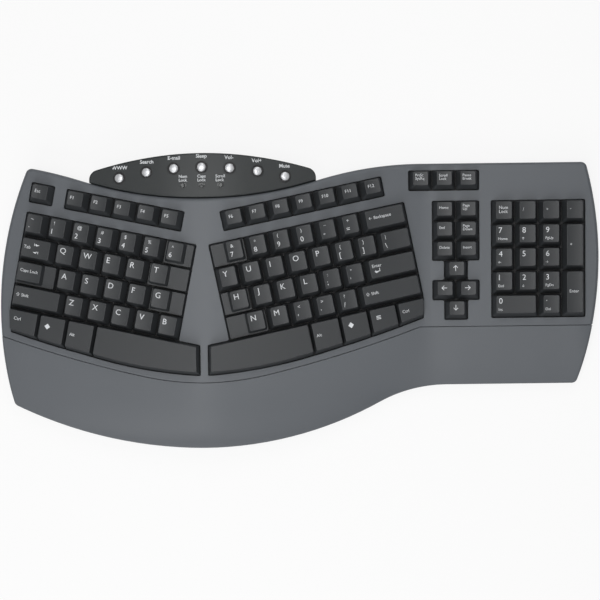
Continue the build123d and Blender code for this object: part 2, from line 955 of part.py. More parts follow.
def dome_sheet(block):
    base = sheet(block, module_growth - frame_rim / 2, dome_base, membrane_top)
    dome = Pos(0, 0, -dome_base + dome_height / 2) * Cone(
        dome_diameter / 2, dome_top_diameter / 2, dome_height
    )
    return beside_split(block, base + guide_places(block, dome))


def key_modules():
    for block in planes:
        keep(frame_names[block], key_frame(block))
        keep("dome_sheets", dome_sheet(block))
        membrane = sheet(block, module_growth - frame_rim / 2, membrane_top, plate_top)
        keep("membrane_sheets", beside_split(block, membrane))
        plate = sheet(block, module_growth, plate_top, stack_depth)
        keep("back_plates", beside_split(block, plate))


def roomy_corners(plan, radius):
    """Corners of a plan area whose edges are long enough for a fillet."""
    corners = []
    for vertex in plan.vertices():
        sides = [edge for edge in plan.edges() if vertex in edge.vertices()]
        if min(edge.length for edge in sides) > 2 * radius:
            corners.append(vertex)
    return corners


def well_cuts():
    """Prisms through the deck for the key blocks, with rounded corners."""
    cuts = []
    wells = {"left": left_wells, "right": right_wells, "level": level_wells}
    for block, make in wells.items():
        for plan in make(well_growth):
            rounded = fillet(roomy_corners(plan, well_corner), well_corner)
            depth = deck_thickness + overrun
            cuts.append(planes[block] * extrude(Pos(0, 0, -depth) * rounded, 2 * depth))
    return cuts


# Case
def deck_height(place):
    """Height of the deck at a plan point, without its rounding."""
    fall = min(abs(place.X), valley) * tent_fall
    return ridge_height - fall + place.Y * slope_rise


def cover_screw_places():
    open_strip = (print_rear + block_rise) / 2 * slope_cos + boss_diameter
    return [
        Vector(0, function_inner.Y),
        Vector(0, -rows_depth / 2),
        Vector(pad_left, open_strip),
        Vector(pad_right - boss_diameter, open_strip),
    ]


def palm_screw_places():
    """Under the deep part of the palm rest; its right arm is too thin for a post."""
    reaches = (-palm_screw_share * left_reach, 0, palm_screw_share * valley)
    return [Vector(across, palm_line(across) - palm_screw_inset) for across in reaches]


def panel_screw_places():
    along = rear_hollow + panel_screw_inset
    reach = panel_half_width - boss_diameter - wall_thickness
    return [Vector(-reach, along), Vector(reach, along)]


def column(place, radius, low, high):
    return Pos(place.X, place.Y, (low + high) / 2) * Cylinder(radius, high - low)


def screw_posts(places, height_at):
    """Posts that end inside the roof above them, and their screw holes."""
    posts = []
    holes = []
    hole_radius = screw_diameter / 2 + screw_clearance
    for place in places:
        top = height_at(place) - deck_thickness / 2
        posts.append(column(place, boss_diameter / 2, parting_height, top))
        hole_top = parting_height + screw_grip
        holes.append(column(place, hole_radius, parting_height - overrun, hole_top))
    return posts, holes


def gland_notch():
    """The square hole that the cable gland sits in, half in each shell."""
    width = gland_width + 2 * gland_clearance
    depth = 2 * (wall_thickness + overrun)
    return Pos(gland_place.X, gland_place.Y, parting_height) * Box(width, depth, width)


gland_place = Vector(0, panel_edge)


def on_palm_line(edge):
    """Whether an edge follows the joint with the palm rest."""
    place = edge.position_at(0.5)
    line = palm_line(place.X) if place.X < straight_start() else palm_straight
    return abs(place.Y - line) < seam_gap + wall_thickness / 2


# Faces whose normal rises at least this much count as the top
upward_share = 0.5


def top_edges(solid, keep_line=True):
    """Edges round the top of a shell, with those on the palm line left sharp."""
    top = ShapeList(
        face for face in solid.faces() if face.normal_at(face.center()).Z > upward_share
    )
    rim = []
    for edge in top.edges():
        owners = [face for face in top if edge in face.edges()]
        if len(owners) == 1 and not (keep_line and on_palm_line(edge)):
            rim.append(edge)
    return rim


def top_cover():
    outline = case_outline()
    inside = drawn_inside(outline, wall_thickness)
    block = prism(outline, parting_height, tall)
    block = block - prism(palm_side(seam_gap / 2), 0, 2 * tall)
    block = block & under_deck(0, ridge_radius, valley_radius)
    block = fillet(top_edges(block), deck_fillet)
    space = prism(inside, 0, tall)
    space = space - prism(palm_side(seam_gap / 2 + wall_thickness), -overrun, 2 * tall)
    space = space & under_deck(deck_thickness, 0, 0)
    shell = block - space
    posts, holes = screw_posts(cover_screw_places(), deck_height)
    shell = shell + posts
    keep("top_cover", shell - holes - well_cuts())


def front_line(across):
    """The front outline of the case, carried on past its corners."""
    run = front_bend
    rise = front_straight - front_edge
    share = front_bulge_radius * 2 * rise / (run**2 + rise**2)
    hollow = front_bulge_radius * (1 / share - 1)
    if across < 0:
        depth = front_left.Y - front_edge
        radius = (front_left.X**2 + depth**2) / (2 * depth)
        return front_edge + radius - sqrt(radius**2 - across**2)
    if across < run * share:
        return front_edge + front_bulge_radius - sqrt(front_bulge_radius**2 - across**2)
    if across < run:
        return front_straight - hollow + sqrt(hollow**2 - (run - across) ** 2)
    return front_straight


def palm_top(across, drop):
    """The curve over the palm rest at a place across, from the joint to the front."""
    on_arm = across < straight_start()
    rear = (palm_line(across) if on_arm else palm_straight) + wall_thickness
    front = front_line(across)
    high = deck_height(Vector(across, rear))
    if abs(across) < ridge_run:
        high = high - crest_drop(across)
    low = palm_edge_height + palm_edge_share * (high - level_height)
    length = rear - front
    flat = palm_flat_share * length
    return [
        Vector(across, rear, high - drop),
        Vector(across, rear - flat, high - drop - flat * slope_rise),
        Vector(across, front + palm_turn_share * length, low + palm_fall_share * (high - low) - drop),
        Vector(across, front, low - drop),
    ]


ridge_run = ridge_radius * sin(radians(tent_angle))


def crest_drop(across):
    """How far the rounded ridge lies below the meeting planes."""
    sharp = ridge_radius / cos(radians(tent_angle)) - abs(across) * tent_fall
    return sharp - sqrt(ridge_radius**2 - across**2)


def curve_point(points, share):
    """A point of the cubic curve that four points steer."""
    rest = 1 - share
    weights = (rest**3, 3 * share * rest**2, 3 * share**2 * rest, share**3)
    total = Vector(0, 0, 0)
    for weight, point in zip(weights, points):
        total += point * weight
    return total


def palm_block(outline, drop, inset, low):
    """The space under the palm surface, in front of the joint."""
    left_end = -left_reach - overrun
    span = right_reach + overrun - left_end
    count = round(span / palm_section_step)
    curve_span = 1 + 2 * palm_overrun_share
    rows = []
    for index in range(count + 1):
        points = palm_top(left_end + span * index / count, drop)
        shares = [curve_span * step / palm_curve_steps for step in range(palm_curve_steps + 1)]
        rows.append([curve_point(points, share - palm_overrun_share) for share in shares])
    surface = Face.make_surface_from_array_of_points(rows, min_deg=3, max_deg=3)
    under = extrude(surface, tall, dir=(0, 0, -1))
    front = palm_side(-seam_gap / 2 - inset)
    return under & prism(outline & front, low, tall)


def palm_height(place):
    """Height of the palm surface at a plan point."""
    points = palm_top(place.X, 0)
    share = (points[0].Y - place.Y) / (points[0].Y - points[3].Y)
    return curve_point(points, share).Z


def palm_rest():
    outline = case_outline()
    block = palm_block(outline, 0, 0, parting_height)
    block = fillet(top_edges(block), palm_fillet)
    inside = drawn_inside(outline, wall_thickness)
    space = palm_block(inside, deck_thickness, wall_thickness, 0)
    posts, holes = screw_posts(palm_screw_places(), palm_height)
    keep("palm_rest", block - space + posts - holes)


# Hot-key panel and its boards
def panel_fall(across):
    """Height of the panel's crown above its virtual ridge, and its side slope."""
    run = panel_ridge_radius * sin(radians(tent_angle))
    if abs(across) > run:
        return -abs(across) * tent_fall, tent_fall
    radius = panel_ridge_radius
    arc = sqrt(radius**2 - across**2)
    return arc - radius / cos(radians(tent_angle)), abs(across) / arc


def panel_plane(across, along):
    """The tangent plane of the hot-key panel at a plan point."""
    fall, slope = panel_fall(across)
    height = ridge_height - panel_step + fall + along * slope_rise
    side = slope if across < 0 else -slope
    return Plane(
        origin=(across, along, height),
        x_dir=(1, 0, side),
        z_dir=(-side, -slope_rise, 1),
    )


hotkey_count = len(hotkey_names)
hotkey_arc_centre = panel_edge - hotkey_row_inset - hotkey_row_radius
hotkey_outer = hotkey_step * (hotkey_count - 1) / 2


def hotkey_planes():
    """Tangent planes of the panel at the hot keys, from left to right."""
    planes_found = []
    for index in range(hotkey_count):
        across = index * hotkey_step - hotkey_outer
        along = hotkey_arc_centre + sqrt(hotkey_row_radius**2 - across**2)
        planes_found.append(panel_plane(across, along))
    return planes_found


lamp_along = panel_edge - lamp_row_inset
lamp_planes = [panel_plane(step * lamp_step, lamp_along) for step in (-1, 0, 1)]
outer_hotkey = hotkey_planes()[0].origin
hot_board_top = outer_hotkey.Z - hot_board_drop
switch_top = hot_board_top + switch_height
plunger_gap = hotkey_travel + plunger_play


def hanger_places():
    places = []
    for reach in hanger_reaches:
        along = hotkey_arc_centre + sqrt(hotkey_row_radius**2 - reach**2)
        places.append(Vector(-reach, along))
        places.append(Vector(reach, along))
    return places


def panel_height(place):
    return panel_plane(place.X, place.Y).origin.Z


def hotkey_panel():
    outline = panel_outline()
    under = under_deck(panel_step, panel_ridge_radius, 0)
    block = prism(outline, parting_height, tall) & under
    block = fillet(top_edges(block, False), panel_fillet)
    under = under_deck(panel_step + panel_roof, panel_ridge_radius, 0)
    space = prism(panel_outline(wall_thickness), 0, tall) & under
    shell = block - space
    posts, holes = screw_posts(panel_screw_places(), panel_height)
    for place in hanger_places():
        high = panel_height(place) - panel_roof / 2
        posts.append(column(place, hanger_diameter / 2, hot_board_top, high))
        low = hot_board_top - board_thickness
        posts.append(column(place, hanger_pin_diameter / 2, low, hot_board_top + board_thickness))
    shell = shell + posts - holes
    hole = Cylinder(hotkey_diameter / 2 + hotkey_clearance, 2 * overrun)
    lamp_hole = Cylinder(lens_diameter / 2 + lens_clearance, 2 * overrun)
    cuts = [plane * hole for plane in hotkey_planes()]
    cuts += [plane * lamp_hole for plane in lamp_planes]
    keep("hotkey_panel", shell - cuts - gland_notch())


def hot_keys():
    """Domed buttons with a flange below the roof and a plunger to the switch."""
    for name, plane in zip(hotkey_names, hotkey_planes()):
        lean = plane.z_dir.Z
        reach = (plane.origin.Z - switch_top) / lean - plunger_gap
        flange_top = -panel_roof - hotkey_play
        head_height = hotkey_rise - flange_top
        head = Pos(0, 0, flange_top + head_height / 2) * Cylinder(hotkey_diameter / 2, head_height)
        head = fillet(head.edges().sort_by(Axis.Z)[-1], hotkey_edge)
        flange = Pos(0, 0, flange_top - hotkey_flange_thickness / 2) * Cylinder(
            hotkey_flange / 2, hotkey_flange_thickness
        )
        plunger_height = reach + flange_top
        plunger = Pos(0, 0, -reach + plunger_height / 2) * Cylinder(
            plunger_diameter / 2, plunger_height
        )
        keep("hot_key_" + name, plane * (head + flange + plunger))


def indicator_lenses():
    for plane in lamp_planes:
        low = hot_board_top + lamp_height + hotkey_play - plane.origin.Z
        height = lens_rise - low
        keep("indicator_lenses", plane * (
            Pos(0, 0, low + height / 2) * Cylinder(lens_diameter / 2, height)
        ))


def hot_key_board():
    """A curved board with a switch below each hot key and a lamp below each lens."""
    centre = Pos(0, hotkey_arc_centre)
    band = centre * Circle(hotkey_row_radius + hot_board_half_width)
    band = band - centre * Circle(hotkey_row_radius - hot_board_half_width)
    side = 2 * hot_board_reach
    room = Pos(0, panel_edge - panel_depth / 2) * Rectangle(side, 2 * panel_depth)
    room = room & panel_outline(wall_thickness + panel_gap)
    tab_along = lamp_along + hot_board_tab_depth / 2 - lens_diameter
    tab = Pos(0, tab_along) * Rectangle(hot_board_tab_width, hot_board_tab_depth)
    board = prism((band & room) + tab, hot_board_top - board_thickness, hot_board_top)
    pin_hole = hanger_pin_diameter / 2 + hanger_clearance
    for place in hanger_places():
        board = board - column(place, pin_hole, hot_board_top - 2 * board_thickness, tall)
    parts = []
    for plane in hotkey_planes():
        spot = plane.origin - plane.z_dir * ((plane.origin.Z - switch_top) / plane.z_dir.Z)
        parts.append(
            Pos(spot.X, spot.Y, hot_board_top + switch_height / 2)
            * Box(switch_width, switch_width, switch_height)
        )
    for plane in lamp_planes:
        parts.append(
            Pos(plane.origin.X, plane.origin.Y, hot_board_top + lamp_height / 2)
            * Box(lamp_width, lamp_width, lamp_height)
        )
    keep("hotkey_board", board + parts)


def controller_place():
    wall = rear_hollow + panel_gap + wall_thickness
    return Vector(0, wall + controller_gap + controller_depth / 2)


def controller_board():
    place = controller_place()
    low = floor_top + controller_lift
    high = low + board_thickness
    board = Pos(place.X, place.Y, (low + high) / 2) * Box(
        controller_width, controller_depth, board_thickness
    )
    chip = Pos(place.X, place.Y, high + chip_height / 2) * Box(chip_width, chip_width, chip_height)
    side = (controller_width - connector_width) / 2
    sockets = []
    for shift in (-side, side):
        sockets.append(
            Pos(place.X + shift, place.Y + controller_depth / 2 - connector_depth / 2)
            * Pos(0, 0, high + connector_height / 2)
            * Box(connector_width / 2, connector_depth, connector_height)
        )
    keep("controller_board", board + chip + sockets)


# Base shell with its feet and screws
def foot_pad_places():
    """Four pads along the front edge and two under the middle of the sides."""
    left = -pad_side_share * left_reach
    right = pad_right - pad_length
    places = [Vector(x, front_line(x) + pad_front_margin) for x in (left, 0, valley, right)]
    places.append(Vector(left, palm_line(left) + pad_length))
    places.append(Vector(right, pad_foot + pad_length))
    return places


def leg_places():
    """Middles of the tilt-foot pockets, both on one hinge line."""
    side = leg_width / 2 + leg_pin_length + pocket_wall
    left = escape_corner.X + side
    inner_end = left + side + leg_clearance
    rear = rear_hollow + hollow_radius - sqrt(hollow_radius**2 - inner_end**2)
    hinge = rear - wall_thickness - leg_thickness - pocket_wall
    right = cover_screw_places()[-1].X - side - boss_diameter
    return {"tilt_foot_left": Vector(left, hinge), "tilt_foot_right": Vector(right, hinge)}


leg_axis_height = foot_lift + leg_thickness / 2


def tilt_foot(name, place):
    """A leg that lies in its pocket and swings down about its rear end."""
    axis = Pos(place.X, place.Y, leg_axis_height)
    arm_length = leg_length - leg_thickness / 2
    arm = Pos(0, -arm_length / 2) * Box(leg_width, arm_length, leg_thickness)
    hub = Rot(0, 90, 0) * Cylinder(leg_thickness / 2, leg_width)
    pin = Rot(0, 90, 0) * Cylinder(leg_pin_diameter / 2, leg_width + 2 * leg_pin_length)
    keep(name, axis * (arm + hub + pin))


def leg_room(place):
    """The pocket and the pin bearings that a tilt foot needs."""
    axis = Pos(place.X, place.Y, leg_axis_height)
    width = leg_width + 2 * leg_clearance
    radius = leg_thickness / 2 + leg_clearance
    length = leg_length + 2 * leg_clearance
    height = leg_thickness + leg_clearance
    middle = Pos(place.X, place.Y - length / 2 + radius, foot_lift + height / 2)
    pocket = middle * Box(width, length, height)
    below = Pos(0, 0, -height) * pocket
    pin = axis * Rot(0, 90, 0) * Cylinder(
        leg_pin_diameter / 2 + leg_pin_clearance, leg_width + 2 * (leg_pin_length + leg_clearance)
    )
    shell_width = width + 2 * (leg_pin_length + pocket_wall)
    outer = middle * Pos(0, 0, pocket_wall / 2) * Box(
        shell_width, length + 2 * pocket_wall, height + pocket_wall
    )
    return outer, [pocket, below, pin]


def base_outline(inset=0):
    """The case outline with the hot-key panel's lens, carried forward into it."""
    outline = case_outline()
    if inset > 0:
        outline = drawn_inside(outline, inset)
    reach = panel_half_width - inset
    radius = panel_radius - inset
    rear_side = panel_edge - panel_radius + sqrt(radius**2 - reach**2)
    front = rear_hollow - wall_thickness - overrun
    edges = [
        Polyline((-reach, rear_side), (-reach, front), (reach, front), (reach, rear_side)),
        ThreePointArc((reach, rear_side), (0, panel_edge - inset), (-reach, rear_side)),
    ]
    lens = make_face(edges)
    corners = near(lens.vertices(), [(reach, rear_side), (-reach, rear_side)])
    return outline + fillet(corners, panel_corner - inset)


def plate_posts(block, places):
    """Posts from the floor up to the underside of a back plate."""
    plane = planes[block]
    posts = []
    for u, v in places:
        head = plane.from_local_coords(Vector(u, v, -stack_depth))
        post = column(head, post_diameter / 2, foot_lift, head.Z + post_diameter)
        posts.append(post)
    above = plane * (Pos(0, 0, -stack_depth) * Box(
        4 * right_width, 4 * right_width, tall, align=(Align.CENTER, Align.CENTER, Align.MIN)
    ))
    return [post - above for post in posts]


def base_shell():
    block = prism(base_outline(), foot_lift, parting_height)
    block = chamfer(block.faces().sort_by(Axis.Z)[0].edges(), base_chamfer)
    shell = block - prism(base_outline(wall_thickness), floor_top, parting_height + overrun)
    additions = []
    cuts = []
    for share in post_column_shares:
        for row_share in post_row_shares:
            v = -row_share * rows_depth
            additions += plate_posts("left", [(-left_width * share, v)])
            additions += plate_posts("right", [(right_width * share, v)])
    level_places = [(nav_left + key_pitch / 4, block_rise - short_pitch / 2)]
    pad_width_all = pad_right - pad_left
    level_places += [(pad_left + share * pad_width_all, pad_foot) for share in pad_post_shares]
    level_places += [(pad_right - key_pitch / 2, block_rise - key_pitch / 2)]
    additions += plate_posts("level", level_places)
    head_radius = screw_head_diameter / 2 + screw_clearance
    for place in cover_screw_places() + palm_screw_places() + panel_screw_places():
        additions.append(column(place, boss_diameter / 2, foot_lift, parting_height))
        cuts.append(column(place, head_radius, 0, foot_lift + screw_head_recess))
        cuts.append(column(place, screw_diameter / 2 + screw_clearance, 0, parting_height + overrun))
    for place in leg_places().values():
        outer, rooms = leg_room(place)
        additions.append(outer)
        cuts += rooms
    recess = RectangleRounded(
        pad_length + 2 * pad_seat_clearance,
        pad_width + 2 * pad_seat_clearance,
        pad_corner,
    )
    for place in foot_pad_places():
        cuts.append(Pos(place.X, place.Y, 0) * extrude(recess, foot_lift + pad_recess))
    board = controller_place()
    for side in (-1, 1):
        spot = Vector(board.X + side * (controller_width / 2 - post_diameter), board.Y)
        additions.append(column(spot, post_diameter / 2, foot_lift, floor_top + controller_lift))
    keep("base_shell", shell + additions - cuts - gland_notch())


def rubber_feet():
    shape = extrude(RectangleRounded(pad_length, pad_width, pad_corner), foot_lift + pad_recess)
    for place in foot_pad_places():
        keep("rubber_feet", Pos(place.X, place.Y, 0) * shape)


def case_screws():
    """Pan-head screws with a cross slot, up through the base into the posts."""
    seat = foot_lift + screw_head_recess
    length = parting_height - seat + screw_grip - screw_clearance
    shank = Pos(0, 0, seat + length / 2) * Cylinder(screw_diameter / 2, length)
    head = Pos(0, 0, seat - screw_head_height / 2) * Cylinder(
        screw_head_diameter / 2, screw_head_height
    )
    screw = shank + head
    for turn in (0, 90):
        screw = screw - Pos(0, 0, seat - screw_head_height) * Rot(0, 0, turn) * Box(
            screw_head_diameter * screw_slot_share, screw_slot_width, 2 * screw_slot_depth
        )
    for place in cover_screw_places() + palm_screw_places() + panel_screw_places():
        keep("case_screws", Pos(place.X, place.Y) * screw)


def cable_grommet():
    """A square gland held between the shells, with flanges on both sides of the wall."""
    outer = gland_place.Y + gland_clearance + gland_flange_thickness
    inner = gland_place.Y - wall_thickness - gland_inner_length
    length = outer - inner
    middle = Pos(gland_place.X, (outer + inner) / 2, parting_height)
    body = middle * Box(gland_width, length, gland_width)
    flange = Pos(gland_place.X, outer - gland_flange_thickness / 2, parting_height) * Box(
        gland_flange_width, gland_flange_thickness, gland_flange_width
    )
    rear = gland_place.Y - wall_thickness - gland_clearance - gland_flange_thickness / 2
    stop = Pos(gland_place.X, rear, parting_height) * Box(
        gland_flange_width, gland_flange_thickness, gland_flange_width
    )
    bore = middle * Rot(90, 0, 0) * Cylinder(gland_bore_radius, length + overrun)
    keep("cable_grommet", body + flange + stop - bore)


main_block("left", -left_width, left_rows)
main_block("right", 0, right_rows)
function_rows()
bottom_rows()
level_blocks()
key_modules()
top_cover()
palm_rest()
hotkey_panel()
hot_keys()
indicator_lenses()
hot_key_board()
controller_board()
base_shell()
rubber_feet()
case_screws()
cable_grommet()
for name, place in leg_places().items():
    tilt_foot(name, place)

os.makedirs("parts", exist_ok=True)
for name, solids in nodes.items():
    export_step(Compound(children=[centring * solid for solid in solids]), f"parts/{name}.step")
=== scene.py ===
# %% [markdown]
# An ergonomic split keyboard, dressed for its portrait
#
# The pieces come from a solid model: case, keys, panel, feet and what is
# inside. This script gives each of them its finish, prints the keys and the
# panel, adds the round keys' domes, and sets up camera and lights. Everything
# is in metres, and +Y points away from the typist.

# %% Load the frame
import bpy
import bmesh
import json
from math import cos, pi, radians, sin
from mathutils import Matrix, Vector


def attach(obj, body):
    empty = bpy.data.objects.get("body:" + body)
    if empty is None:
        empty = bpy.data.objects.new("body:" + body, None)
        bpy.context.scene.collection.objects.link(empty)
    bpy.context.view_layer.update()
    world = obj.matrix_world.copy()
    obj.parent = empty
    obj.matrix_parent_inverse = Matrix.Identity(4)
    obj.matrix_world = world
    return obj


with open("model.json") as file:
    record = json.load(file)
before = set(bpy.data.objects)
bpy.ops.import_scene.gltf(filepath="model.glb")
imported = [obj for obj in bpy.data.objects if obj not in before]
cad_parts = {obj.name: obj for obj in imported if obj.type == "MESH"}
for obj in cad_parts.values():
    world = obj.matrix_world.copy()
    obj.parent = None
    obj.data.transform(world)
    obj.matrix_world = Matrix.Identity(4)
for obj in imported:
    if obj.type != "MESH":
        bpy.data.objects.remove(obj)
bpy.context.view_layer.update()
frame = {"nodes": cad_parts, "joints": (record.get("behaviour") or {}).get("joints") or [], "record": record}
nodes = frame["nodes"]
mm = 0.001
print("pieces from the solid model:", len(nodes))

# %% [markdown]
# The camera
#
# The photograph looks straight down from about 1.2 m, with the picture turned
# by less than a degree. A camera that looks down needs no rotation, because
# Blender's cameras look along -Z. The lens follows from the width of desk that
# the picture shows.

# %% Camera
camera_height = 1200 * mm
picture_width = 494.3 * mm
picture_turn = radians(-0.7)
sensor_width = 36.0

bpy.ops.object.camera_add(location=(0, 0, camera_height), rotation=(0, 0, picture_turn))
camera = bpy.context.object
camera.data.sensor_width = sensor_width
camera.data.lens = sensor_width * camera_height / picture_width
bpy.context.scene.camera = camera
print("lens:", round(camera.data.lens, 1), "mm")

# %% [markdown]
# Soft lamps
#
# A product picture of dark plastic wants large soft lamps: small ones would
# leave hard dots on every key. One wide panel hangs over the front left, a
# weaker one stands at the rear, and a third lights the deck from above. An area
# lamp shines along its own -Z, so it is turned until that looks at the desk.

# %% Lamps
studio_lamps = {
    "front_panel": ((-0.25, -0.95, 0.80), 0.9, 6.5),
    "rear_panel": ((0.10, 0.85, 1.0), 0.8, 4.5),
    "top_panel": ((-0.15, -0.10, 1.5), 0.8, 9.5),
}
for name, (place, size, watts) in studio_lamps.items():
    bpy.ops.object.light_add(type="AREA", location=place)
    lamp = bpy.context.object
    lamp.name = name
    lamp.data.size = size
    lamp.data.energy = watts
    lamp.rotation_euler = (-Vector(place)).to_track_quat("-Z", "Y").to_euler()
print("lamps:", len(studio_lamps))

# %% [markdown]
# The air around
#
# The world could be an even white, but then it would wash out every dark key.
# The Light Path node tells rays apart: those from the camera see white, and
# those that light the plastic find a dim grey.

# %% World
world_grey = 0.13
white = (1, 1, 1, 1)

world = bpy.data.worlds.new("studio")
bpy.context.scene.world = world
world.use_nodes = True
world_tree = world.node_tree
backdrop = world_tree.nodes["Background"]
ray = world_tree.nodes.new("ShaderNodeLightPath")
seen = world_tree.nodes.new("ShaderNodeMath")
seen.operation = "MAXIMUM"
world_tree.links.new(ray.outputs["Is Camera Ray"], seen.inputs[0])
world_tree.links.new(ray.outputs["Is Transmission Ray"], seen.inputs[1])
strength = world_tree.nodes.new("ShaderNodeMapRange")
strength.inputs["To Min"].default_value = world_grey
strength.inputs["To Max"].default_value = 1.0
world_tree.links.new(seen.outputs[0], strength.inputs["Value"])
world_tree.links.new(strength.outputs["Result"], backdrop.inputs["Strength"])
backdrop.inputs["Color"].default_value = white
bpy.context.scene.view_settings.view_transform = "Standard"
print("grey of the world:", world_grey)


# %% [markdown]
# Wires
#
# A material is a small graph of nodes. Written out link by link it is hard to
# read, so a class stands for a wire between two nodes, and lets Python's own
# signs add the Math nodes.

# %% Wires
class Wire:
    """An output of a node that takes part in sums."""

    def __init__(self, paint, socket):
        self.paint = paint
        self.socket = socket

    def worked(self, operation, first, second):
        """A Math node on two values or wires."""
        values = {0: first, 1: second}
        return self.paint.node("ShaderNodeMath", {"operation": operation}, values)

    def twin(self, output):
        """Another output of the same node."""
        return Wire(self.paint, self.socket.node.outputs[output])

    def __add__(self, other):
        return self.worked("ADD", self, other)

    def __mul__(self, other):
        return self.worked("MULTIPLY", self, other)

    def __gt__(self, other):
        return self.worked("GREATER_THAN", self, other)

    __radd__ = __add__
    __rmul__ = __mul__


print("wires can be added, multiplied and compared")


# %% [markdown]
# Paints
#
# A second class holds a material's tree. One method makes any node from its
# type, its settings and its inputs, and three short ones make what nearly every
# finish here needs: noise, a colour between two, and a bump. Noise is given by
# the width of its lumps in metres, because that can be measured on a real key.

# %% Paints
class Paint:
    """A material and its node tree."""

    def __init__(self, name):
        self.material = bpy.data.materials.new(name)
        self.material.use_nodes = True
        self.tree = self.material.node_tree
        self.shader = self.tree.nodes["Principled BSDF"]
        self.place = self.node("ShaderNodeTexCoord", output="Object")

    def feed(self, socket, value):
        """Links a wire to a socket, or sets the socket's own value."""
        if isinstance(value, Wire):
            self.tree.links.new(value.socket, socket)
        elif isinstance(value, tuple) and len(value) == 3 and socket.type == "RGBA":
            socket.default_value = (*value, 1)
        else:
            socket.default_value = value

    def node(self, kind, settings=None, inputs=None, output=0):
        """Any node: its settings are set before its inputs."""
        made = self.tree.nodes.new(kind)
        for name, value in (settings or {}).items():
            setattr(made, name, value)
        for name, value in (inputs or {}).items():
            self.feed(made.inputs[name], value)
        return Wire(self, made.outputs[output])

    def noise(self, feature, detail=2.0, place=None):
        """Soft noise whose lumps are about feature metres wide."""
        inputs = {"Vector": place or self.place, "Scale": 1 / feature, "Detail": detail}
        return self.node("ShaderNodeTexNoise", {}, inputs)

    def between(self, factor, low, high):
        """A colour between two, by a factor."""
        inputs = {"Factor": factor, 6: low, 7: high}
        return self.node("ShaderNodeMix", {"data_type": "RGBA"}, inputs, 2)

    def bump(self, height, depth):
        """Height in steps of depth metres, as a normal."""
        inputs = {"Height": height, "Distance": depth, "Strength": 1.0}
        return self.node("ShaderNodeBump", {}, inputs)

    def set(self, **inputs):
        """Sets sockets of the shader, such as base_color."""
        for name, value in inputs.items():
            self.feed(self.shader.inputs[name.replace("_", " ").title()], value)


def scaled(colour, share):
    """A darker or lighter shade of a colour."""
    return tuple(channel * share for channel in colour)


print("a paint can:", [name for name in vars(Paint) if not name.startswith("_")])


# %% [markdown]
# Moulded plastic
#
# The case and the keys are injection-moulded. The tool is eroded by sparks, so
# the plastic comes out with a grain of fine soft pits, a bit less regular than
# leather. A flat colour would look like a computer's: here the colour drifts by
# a few percent over centimetres, the gloss over millimetres, and the grain is a
# bump a few hundredths of a millimetre deep. Noise lies evenly about 0.5, so
# half of each swing is taken off the roughness again.

# %% Plastics
drift_patch = 45 * mm
speck_to_grain = 1.7
slow_swing, grain_swing = 0.06, 0.08


def moulded(name, colour, gloss, grain, depth, drift=0.05):
    """Plastic with a sparked grain: gloss is its mean roughness."""
    paint = Paint(name)
    slow = paint.noise(drift_patch, 3.0)
    fine = paint.noise(grain)
    speck = paint.noise(grain * speck_to_grain, 1.0)
    dark, light = scaled(colour, 1 - drift), scaled(colour, 1 + drift)
    tone = paint.between(slow * 0.7 + speck * 0.3, dark, light)
    base_gloss = gloss - (slow_swing + grain_swing) / 2
    rough = slow * slow_swing + fine * grain_swing + base_gloss
    paint.set(base_color=tone, roughness=rough, normal=paint.bump(fine, depth))
    return paint.material


case_plastic = moulded("case_plastic", (0.112, 0.122, 0.135), 0.50, 0.5 * mm, 0.030 * mm)
base_plastic = moulded("base_plastic", (0.105, 0.114, 0.126), 0.56, 0.6 * mm, 0.040 * mm)
key_plastic = moulded("key_plastic", (0.032, 0.035, 0.038), 0.46, 0.35 * mm, 0.015 * mm)
frame_plastic = moulded("frame_plastic", (0.012, 0.012, 0.013), 0.60, 0.6 * mm, 0.020 * mm)
panel_plastic = moulded("panel_plastic", (0.015, 0.019, 0.020), 0.46, 0.8 * mm, 0.006 * mm)
lens_plastic = moulded("lens_plastic", (0.095, 0.100, 0.100), 0.25, 0.6 * mm, 0.004 * mm)
window_paint = moulded("window_paint", (0.085, 0.090, 0.090), 0.35, 0.5 * mm, 0.004 * mm)
foot_rubber = moulded("foot_rubber", (0.022, 0.022, 0.023), 0.78, 0.4 * mm, 0.030 * mm)
dome_rubber = moulded("dome_rubber", (0.52, 0.52, 0.49), 0.50, 0.5 * mm, 0.020 * mm)
print("plastics ready, drifting over", round(drift_patch / mm), "mm")

# %% [markdown]
# Paint on plastic
#
# The round keys are sprayed with silver paint, whose metal flakes make it
# partly metallic. The letters are a pale ink. Both are smoother than the
# plastic under them, so they use the same recipe with a shallower grain.

# %% Silver and ink
silver_flakes = 0.35

silver_paint = moulded("silver_paint", (0.66, 0.67, 0.69), 0.33, 0.4 * mm, 0.004 * mm, 0.03)
silver_shader = silver_paint.node_tree.nodes["Principled BSDF"]
silver_shader.inputs["Metallic"].default_value = silver_flakes
label_paint = moulded("label_paint", (0.70, 0.72, 0.74), 0.45, 0.3 * mm, 0.006 * mm, 0.04)
print("metal in the silver:", silver_flakes)


# %% [markdown]
# Rolled steel
#
# The plates under the keys are rolled, which leaves fine lines along their
# length. Scratches could be drawn one by one, but noise that a Mapping node
# stretches along X gives them at once. Slow blotches break up the zinc.

# %% Steel
stretch = (0.04, 1, 1)
blotch_width = 12 * mm
line_depth = 0.004 * mm
line_swing, blotch_swing = 0.16, 0.08


